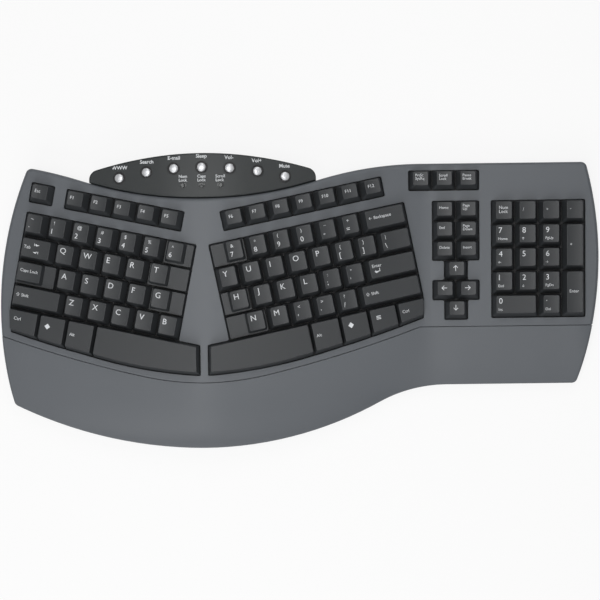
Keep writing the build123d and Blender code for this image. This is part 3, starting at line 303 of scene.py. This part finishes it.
def plated(name, colour, gloss, streak):
    """Bright steel with fine rolling streaks along X."""
    paint = Paint(name)
    settings = {"vector_type": "POINT"}
    inputs = {"Vector": paint.place, "Scale": stretch}
    stretched = paint.node("ShaderNodeMapping", settings, inputs)
    lines = paint.noise(streak, 4.0, stretched)
    blotch = paint.noise(blotch_width, 3.0)
    tone = paint.between(lines * 0.6 + blotch * 0.4, scaled(colour, 0.86), colour)
    base_gloss = gloss - (line_swing + blotch_swing) / 2
    rough = lines * line_swing + blotch * blotch_swing + base_gloss
    paint.set(base_color=tone, roughness=rough, normal=paint.bump(lines, line_depth))
    paint.set(metallic=1.0)
    return paint.material


plate_steel = plated("plate_steel", (0.56, 0.57, 0.58), 0.36, 0.5 * mm)
screw_steel = plated("screw_steel", (0.50, 0.50, 0.51), 0.30, 0.3 * mm)
print("steels:", plate_steel.name, screw_steel.name)


# %% [markdown]
# Film and boards
#
# The membrane and the circuit boards carry printed tracks. They are drawn as a
# grid of lines, which is enough for pieces that are only seen when the case is
# open. Ping-pong turns a coordinate into a zigzag, and the part of it above an
# edge is a line of even width.

# %% Film and boards
track_height = 0.02 * mm
speckle_width = 3 * mm


def printed_lines(name, ground, line, pitch, width_share, gloss):
    """A sheet with printed tracks, running in a grid of given pitch."""
    paint = Paint(name)
    across = paint.node("ShaderNodeSeparateXYZ", {}, {0: paint.place})
    along = across.twin(1)
    edge = pitch / 2 * (1 - width_share)
    first, second = (
        wire.worked("PINGPONG", wire, pitch / 2) > edge for wire in (across, along)
    )
    tracks = first.worked("MAXIMUM", first, second)
    speckle = paint.noise(speckle_width)
    tone = paint.between(tracks * (0.7 + speckle * 0.3), ground, line)
    relief = paint.bump(tracks, track_height)
    paint.set(base_color=tone, roughness=speckle * 0.1 + gloss, normal=relief)
    return paint.material


membrane_film = printed_lines(
    "membrane_film", (0.55, 0.60, 0.55), (0.20, 0.22, 0.22), 6.0 * mm, 0.22, 0.22
)
board_laminate = printed_lines(
    "board_laminate", (0.02, 0.13, 0.05), (0.05, 0.26, 0.10), 2.5 * mm, 0.30, 0.30
)
print("sheets:", membrane_film.name, board_laminate.name)

# %% [markdown]
# Which finish goes where
#
# The record of the solid model names a slot for every piece, such as
# case_plastic, so a piece's finish is looked up by that name. The cable gland
# gets the same rubber as the feet.

# %% Finish for every node
finishes = {
    "case_plastic": case_plastic,
    "base_plastic": base_plastic,
    "key_plastic": key_plastic,
    "panel_plastic": panel_plastic,
    "hotkey_plastic": silver_paint,
    "lens_plastic": lens_plastic,
    "frame_plastic": frame_plastic,
    "dome_rubber": dome_rubber,
    "membrane_film": membrane_film,
    "plate_steel": plate_steel,
    "board_laminate": board_laminate,
    "screw_steel": screw_steel,
    "foot_rubber": foot_rubber,
    "grommet_rubber": foot_rubber,
}
subparts = frame["record"]["subparts"]
for part in subparts:
    piece = nodes[part["node"]]
    piece.data.materials.clear()
    piece.data.materials.append(finishes[part["material_slot"]])
print("finished nodes:", len(subparts))

# %% [markdown]
# The floor
#
# A plain pale sheet, far larger than the keyboard, lies level with the bottom
# of the rubber feet. A white floor in this light would come out grey, and more
# light would wash out the keys. So, for the camera and for reflections, it is
# mixed with plain white, and keeps a little of its own shade for the shadow
# under the case.

# %% Floor
floor_size = 6.0
share_of_white = 0.85

bpy.ops.mesh.primitive_plane_add(size=floor_size, location=(0, 0, 0))
floor = bpy.context.object
floor.name = "floor"
floor_paint = Paint("floor_paper")
floor_paint.set(base_color=(0.86, 0.86, 0.86), roughness=0.9)
camera_ray = floor_paint.node("ShaderNodeLightPath")
glossy_ray = camera_ray.twin("Is Glossy Ray")
whiteness = camera_ray.worked("MAXIMUM", camera_ray, glossy_ray) * share_of_white
glow = floor_paint.node("ShaderNodeEmission", {}, {"Color": (1, 1, 1), "Strength": 1.0})
paper = Wire(floor_paint, floor_paint.shader.outputs[0])
mixed = floor_paint.node("ShaderNodeMixShader", {}, {0: whiteness, 1: paper, 2: glow})
output = floor_paint.tree.nodes["Material Output"]
floor_paint.feed(output.inputs["Surface"], mixed)
floor.data.materials.append(floor_paint.material)
print("floor:", floor.dimensions.x, "m wide")

# %% [markdown]
# How the keys lean
#
# Every key presses square to its own deck plane, so its joint's axis gives that
# plane's normal, and the turn of its block gives the direction of its rows.
# Row, column and normal together are a rotation: through it, the keys of a
# block can be measured and printed as if they lay flat and straight.

# %% Key directions
block_turn = {"left": radians(-12), "right": radians(12), "level": 0.0}
level_limit = 0.01

press_axis = {}
for joint in frame["joints"]:
    if joint["type"] == "slide":
        press_axis[joint["name"].removesuffix("_press")] = Vector(joint["axis"])
key_nodes = [name for name in press_axis if not name.startswith("hot_key")]


def key_block(node):
    """Which block a node of keys stands in, by the lean of its travel."""
    axis = press_axis[node]
    if abs(axis.x) < level_limit:
        return "level"
    return "left" if axis.x > 0 else "right"


def block_frame(node):
    """Rotation whose columns are the row, the column and the normal direction."""
    normal = -press_axis[node]
    turn = block_turn[key_block(node)]
    row = Vector((cos(turn), sin(turn), 0))
    row.z = -normal.dot(row) / normal.z
    row.normalize()
    column = normal.cross(row)
    return Matrix((row, column, normal)).transposed()


print("nodes of keys:", len(key_nodes))

# %% [markdown]
# Where the keys are
#
# Each node of keys holds one or more caps. Typed places would go wrong as soon
# as the solid model changed, so they are measured: a copy of the mesh, with its
# loose triangles merged, falls into one island for each cap, and the island's
# highest points give the outline of its top.

# %% Key tops
merge_distance = 0.002 * mm
top_slice = 0.6 * mm
row_step = 8 * mm


def islands(mesh):
    """Groups of vertices that hang together, from a merged copy of a mesh."""
    shape = bmesh.new()
    shape.from_mesh(mesh)
    bmesh.ops.remove_doubles(shape, verts=shape.verts, dist=merge_distance)
    left_over = set(shape.verts)
    groups = []
    while left_over:
        group = []
        front = [left_over.pop()]
        while front:
            vertex = front.pop()
            group.append(vertex.co.copy())
            for edge in vertex.link_edges:
                other = edge.other_vert(vertex)
                if other in left_over:
                    left_over.remove(other)
                    front.append(other)
        groups.append(group)
    shape.free()
    return groups


def key_tops(node):
    """Each cap's left, right, front, rear and height, from the rear row forward."""
    turn = block_frame(node).transposed()
    tops = []
    for group in islands(nodes[node].data):
        points = [turn @ point for point in group]
        height = max(point.z for point in points)
        high = [point for point in points if point.z > height - top_slice]
        across = [point.x for point in high]
        along = [point.y for point in high]
        tops.append((min(across), max(across), min(along), max(along), height))
    tops.sort(key=lambda top: (-round((top[2] + top[3]) / 2 / row_step), top[0]))
    return tops


tops_of = {node: key_tops(node) for node in key_nodes}
print("caps:", sum(len(tops) for tops in tops_of.values()))

# %% [markdown]
# Letters as meshes
#
# An image texture would blur in a close view and needs a picture file. Here
# every word is a text object made into a mesh, in Blender's own sans serif. Its
# size is given by the height of a capital, so one sample is measured first. The
# font's up arrow loses half its stem when it is filled, so a down arrow is
# turned round for it.

# %% Lettering
type_detail = 3
line_spacing = 0.88
up_arrow, down_arrow = "↑", "↓"


def choose(*pieces):
    """Selects only these pieces and makes the first one active."""
    bpy.ops.object.select_all(action="DESELECT")
    for piece in pieces:
        piece.select_set(True)
    bpy.context.view_layer.objects.active = pieces[0]


def lettering(words, height, weight=0.0):
    """Words as a flat mesh; height is that of a capital letter."""
    bpy.ops.object.text_add()
    text = bpy.context.object
    points_up = words == up_arrow
    text.data.body = down_arrow if points_up else words
    text.data.align_x = "LEFT"
    text.data.size = height / capital_share
    text.data.space_line = line_spacing
    text.data.offset = weight * height
    text.data.resolution_u = type_detail
    choose(text)
    bpy.ops.object.convert(target="MESH")
    flat = bpy.context.object
    if points_up:
        flat.data.transform(Matrix.Rotation(pi, 4, "Z"))
    return flat


capital_share = 1.0
sample = lettering("H", 1.0)
capital_share = sample.dimensions.y
bpy.ops.object.delete()
print("capital height as a share of type size:", round(capital_share, 3))

# %% [markdown]
# Laying words on a surface
#
# The caps are slightly hollow, and the panel is curved, so a word has to bend
# with what it lies on. It is set above its place and dropped by a Shrinkwrap
# modifier that projects along the key's own travel, and Solidify gives it the
# thickness of ink. All the words of a node become one piece.

# %% Dropped words
print_thickness = 0.05 * mm
print_lift = 0.01 * mm
drop_height = 1 * mm


def set_down(piece, place, share):
    """Moves a mesh: a share of its width and half its depth come to be at place."""
    corners = [vertex.co for vertex in piece.data.vertices]
    low = Vector([min(corner[axis] for corner in corners) for axis in range(3)])
    high = Vector([max(corner[axis] for corner in corners) for axis in range(3)])
    middle = (low + high) / 2
    anchor = Vector((low.x + share * (high.x - low.x), middle.y, middle.z))
    piece.data.transform(Matrix.Translation(Vector(place) - anchor))


def dropped(name, pieces, node, turn, paint):
    """Joins flat meshes and drops them onto a node, along -Z of the turned frame."""
    choose(*pieces)
    if len(pieces) > 1:
        bpy.ops.object.join()
    piece = bpy.context.object
    piece.name = name
    piece.rotation_euler = turn.to_euler()
    drop = piece.modifiers.new("drop", "SHRINKWRAP")
    drop.target = nodes[node]
    drop.wrap_method = "PROJECT"
    drop.use_project_z = True
    drop.use_negative_direction = True
    drop.use_positive_direction = False
    drop.offset = print_lift
    body = piece.modifiers.new("body", "SOLIDIFY")
    body.thickness = print_thickness
    body.offset = 1.0
    for modifier in ("drop", "body"):
        bpy.ops.object.modifier_apply(modifier=modifier)
    bpy.ops.object.transform_apply(location=True, rotation=True, scale=True)
    piece.data.materials.clear()
    piece.data.materials.append(paint)
    return piece


def printed(name, node, turn, marks, weight=0.0, share=0.0):
    """Prints marks on a node: each is words, height and a place in the turned frame."""
    pieces = []
    for words, height, place in marks:
        piece = lettering(words, height, weight)
        set_down(piece, place, share)
        pieces.append(piece)
    return dropped(name, pieces, node, turn, label_paint)


print("ink:", round(print_thickness / mm, 3), "mm thick")

# %% [markdown]
# What the keys say
#
# Keys of one kind share a layout, so a node is described by the name of its
# layout and one word for each key. A layout holds, for each mark, the height of
# its capitals, how far right it starts from the left edge of the top, and how
# far behind the middle of the top it stands, all in millimetres. Where a layout
# has more than one mark, a space parts the words. A key of two signs among the
# letters takes the layout for pairs.

# %% Key legends
layouts = {
    "letter": ((4.4, 2.6, 2.6),),
    "pair": ((3.9, 2.0, -3.1), (2.7, 3.2, 3.5)),
    "function": ((2.5, 2.4, 0.7),),
    "digit": ((4.4, 2.2, 3.0), (2.1, 1.8, -3.9)),
    "sign": ((2.5, 2.6, 0.6),),
    "short": ((2.1, 1.8, 1.0),),
    "word": ((2.4, 2.2, 0.8),),
    "arrow": ((4.2, 3.2, 0.4),),
    "tab": ((2.5, 1.8, 0.6), (3.4, 10.0, 3.2), (3.4, 10.0, -2.8)),
    "enter": ((2.5, 2.2, 2.4), (4.0, 3.4, -1.6)),
    "corner": ((2.5, 5.0, 2.6),),
    "mark": ((3.4, 4.2, 2.2),),
}
legends = {
    "esc_key": ("function", ["Esc"]),
    "function_keys_left": ("function", ["F1", "F2", "F3", "F4", "F5"]),
    "function_keys_right": ("function", ["F6", "F7", "F8", "F9", "F10", "F11", "F12"]),
    "number_keys_left": ("pair", ["` ~", "1 !", "2 @", "3 #", "4 $", "5 %", "6 ^"]),
    "number_keys_right": ("pair", ["7 &", "8 *", "9 (", "0 )", "- _", "= +"]),
    "backspace_key": ("word", ["← Backspace"]),
    "tab_key": ("tab", ["Tab ⇤ ⇥"]),
    "upper_letters_left": ("letter", list("QWERT")),
    "upper_letters_right": ("letter", list("YUIOP") + ["[ {", "] }"]),
    "backslash_key": ("pair", ["\\ |"]),
    "caps_lock_key": ("word", ["Caps Lock"]),
    "home_letters_left": ("letter", list("ASDFG")),
    "home_letters_right": ("letter", list("HJKL") + ["; :", "' \""]),
    "enter_key": ("enter", ["Enter ↵"]),
    "shift_key_left": ("word", ["⇧ Shift"]),
    "lower_letters_left": ("letter", list("ZXCVB")),
    "lower_letters_right": ("letter", list("NM") + [", <", ". >", "/ ?"]),
    "shift_key_right": ("word", ["⇧ Shift"]),
    "ctrl_key_left": ("corner", ["Ctrl"]),
    "ctrl_key_right": ("word", ["Ctrl"]),
    "alt_key_left": ("word", ["Alt"]),
    "alt_key_right": ("word", ["Alt"]),
    "super_key_left": ("mark", ["◆"]),
    "super_key_right": ("mark", ["◆"]),
    "menu_key": ("mark", ["☰"]),
    "print_scroll_pause_keys": ("short", ["PrtSc\nSysRq", "Scroll\nLock", "Pause\nBreak"]),
    "navigation_keys": (
        "short", ["Home", "Page\nUp", "End", "Page\nDown", "Delete", "Insert"]
    ),
    "arrow_keys": ("arrow", [up_arrow, "←", "→", down_arrow]),
    "pad_function_keys": ("sign", ["Num\nLock", "/", "*", "-"]),
    "pad_number_keys": (
        "digit",
        [
            "7 Home", "8 " + up_arrow, "9 PgUp", "4 ←", "5", "6 →",
            "1 End", "2 " + down_arrow, "3 PgDn", ". Del",
        ],
    ),
    "pad_plus_key": ("sign", ["+"]),
    "pad_enter_key": ("word", ["Enter"]),
    "pad_zero_key": ("digit", ["0 Ins"]),
}
print("nodes with legends:", len(legends))

# %% [markdown]
# Printing the keys
#
# The measured tops and the layouts now meet. Every node's words are laid out in
# its block's own frame, dropped onto its caps and joined. The piece then rides
# the body of those keys, so that the words go down with them.

# %% Printed keys
def key_marks(layout, words, top):
    """The marks of one key: its words laid out on its top."""
    left, _, front, rear, height = top
    if layout == "letter" and " " in words:
        layout = "pair"
    slots = layouts[layout]
    parts = words.split(" ") if len(slots) > 1 else [words]
    middle = (front + rear) / 2
    marks = []
    for part, (size, across, along) in zip(parts, slots):
        place = (left + across * mm, middle + along * mm, height + drop_height)
        marks.append((part, size * mm, place))
    return marks


printed_marks = 0
for node, (layout, words_of_keys) in legends.items():
    marks = []
    for words, top in zip(words_of_keys, tops_of[node], strict=True):
        marks += key_marks(layout, words, top)
    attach(printed(node + "_print", node, block_frame(node), marks), node + "_body")
    printed_marks += len(marks)
print("printed marks:", printed_marks)

# %% [markdown]
# Printing on the panel
#
# Seven words stand behind the round keys and three behind the lamps, each
# centred on its key or lamp. They are bolder than the key legends, which the
# text's offset does: it thickens every stroke. They drop straight down, because
# the panel is nearly level.

# %% Panel words
panel_words = {
    "web": "WWW", "search": "Search", "mail": "E-mail", "sleep": "Sleep",
    "volume_down": "Vol-", "volume_up": "Vol+", "mute": "Mute",
}
indicator_words = ("Num\nLock", "Caps\nLock", "Scroll\nLock")
word_height, word_gap = 2.8 * mm, 8.2 * mm
indicator_word_height, indicator_word_gap = 2.3 * mm, 5.6 * mm
word_weight = 0.04
centred = 0.5

level_turn = Matrix.Identity(3)
panel_top = max(vertex.co.z for vertex in nodes["hotkey_panel"].data.vertices)
print_height = panel_top + drop_height


def middle_of(piece):
    """Middle of a node's bounding box."""
    corners = [Vector(corner) for corner in piece.bound_box]
    return (corners[0] + corners[6]) / 2


word_marks = []
for key, words in panel_words.items():
    middle = middle_of(nodes["hot_key_" + key])
    place = (middle.x, middle.y + word_gap, print_height)
    word_marks.append((words, word_height, place))
indicators = []
for group in islands(nodes["indicator_lenses"].data):
    across = sum(point.x for point in group) / len(group)
    along = sum(point.y for point in group) / len(group)
    indicators.append((across, along))
indicators.sort()
for words, (across, along) in zip(indicator_words, indicators):
    place = (across, along + indicator_word_gap, print_height)
    word_marks.append((words, indicator_word_height, place))
panel_print = printed(
    "panel_print", "hotkey_panel", level_turn, word_marks, word_weight, centred
)
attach(panel_print, "case")
print("panel words:", len(word_marks))

# %% [markdown]
# Silver domes
#
# The round keys are shallow silver domes. A spun profile would do, but a sphere
# is quicker: its lower half is cut away, the hole gets a floor, and scaling
# flattens it. The dome is modelled once and copied, and each copy is stood
# square to the travel of its own key, a hair into the key's flat top.

# %% Domes
dome_radius = 3.25 * mm
dome_height = 0.85 * mm
dome_sunk = 0.02 * mm
cut_margin = 0.01
crease = radians(40)


def apply_place():
    """Moves the chosen piece's place, turn and scale into its mesh."""
    bpy.ops.object.transform_apply(location=True, rotation=True, scale=True)


def copied(shape, name):
    """A copy of a shape with a mesh of its own."""
    piece = shape.copy()
    piece.data = shape.data.copy()
    piece.name = name
    bpy.context.collection.objects.link(piece)
    choose(piece)
    return piece


def on_round_key(shape, name, key, depth, paint):
    """A copy of a shape, square to a round key's travel and depth below its top."""
    node = nodes["hot_key_" + key]
    normal = -press_axis["hot_key_" + key]
    height = max(vertex.co.dot(normal) for vertex in node.data.vertices)
    middle = middle_of(node)
    piece = copied(shape, name + "_" + key)
    piece.rotation_euler = normal.to_track_quat("Z", "Y").to_euler()
    piece.location = middle + normal * (height - depth - middle.dot(normal))
    apply_place()
    piece.data.materials.append(paint)
    return piece


bpy.ops.mesh.primitive_uv_sphere_add(segments=48, ring_count=32, radius=1.0)
dome = bpy.context.object
bpy.ops.object.mode_set(mode="EDIT")
bpy.ops.mesh.select_all(action="DESELECT")
bpy.ops.object.mode_set(mode="OBJECT")
for vertex in dome.data.vertices:
    vertex.select = vertex.co.z < -cut_margin
bpy.ops.object.mode_set(mode="EDIT")
bpy.ops.mesh.delete(type="VERT")
bpy.ops.mesh.select_all(action="DESELECT")
bpy.ops.mesh.select_non_manifold()
bpy.ops.mesh.edge_face_add()
bpy.ops.object.mode_set(mode="OBJECT")
dome.scale = (dome_radius, dome_radius, dome_height)
apply_place()
bpy.ops.object.shade_smooth_by_angle(angle=crease)
for key in panel_words:
    silver = on_round_key(dome, "dome", key, dome_sunk, silver_paint)
    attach(silver, "hot_key_" + key + "_body")
bpy.data.objects.remove(dome)
print("domes:", len(panel_words), "of", round(2 * dome_radius / mm, 1), "mm")

# %% [markdown]
# Dark rings of painted shade
#
# Round each silver key lies a low black ring. It is painted shade: it stands for
# the shaded gap between the key and the panel. A torus, flattened to a quarter of
# its height and half sunk in the panel, leaves just that soft rim.
# It belongs to the case, and stays where it is when the key goes down.

# %% Rings of painted shade
key_stand = 1.0 * mm
shade_ring_radius = 4.3 * mm
shade_ring_width = 1.5 * mm
shade_ring_flatness = 0.25

# The black torus is painted shade, standing for the dark gap round each key.
bpy.ops.mesh.primitive_torus_add(
    major_segments=48,
    minor_segments=12,
    major_radius=shade_ring_radius,
    minor_radius=shade_ring_width / 2,
)
ring = bpy.context.object
ring.scale = (1, 1, shade_ring_flatness)
apply_place()
bpy.ops.object.shade_smooth()
for key in panel_words:
    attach(on_round_key(ring, "ring", key, key_stand, frame_plastic), "case")
bpy.data.objects.remove(ring)
print("rings:", round(2 * shade_ring_radius / mm, 1), "mm across")

# %% [markdown]
# Lamp windows
#
# Three small oval windows cover the lamps. Each is a disc with an inset face,
# squashed to an oval and dropped onto the panel in the same way as the words,
# so it follows the panel's curve and stands a hair above it.

# %% Windows
window_length, window_width = 5.0 * mm, 3.7 * mm
window_border = 0.3

bpy.ops.mesh.primitive_circle_add(vertices=48, radius=1, fill_type="NGON")
oval = bpy.context.object
bpy.ops.object.mode_set(mode="EDIT")
bpy.ops.mesh.select_all(action="SELECT")
bpy.ops.mesh.inset(thickness=window_border)
bpy.ops.object.mode_set(mode="OBJECT")
oval.scale = (window_length / 2, window_width / 2, 1)
apply_place()
ovals = []
for across, along in indicators:
    window = copied(oval, "window")
    window.location = (across, along, print_height)
    apply_place()
    ovals.append(window)
bpy.data.objects.remove(oval)
windows = dropped("lamp_windows", ovals, "hotkey_panel", level_turn, window_paint)
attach(windows, "case")
print("windows:", len(indicators))

# %% [markdown]
# Close
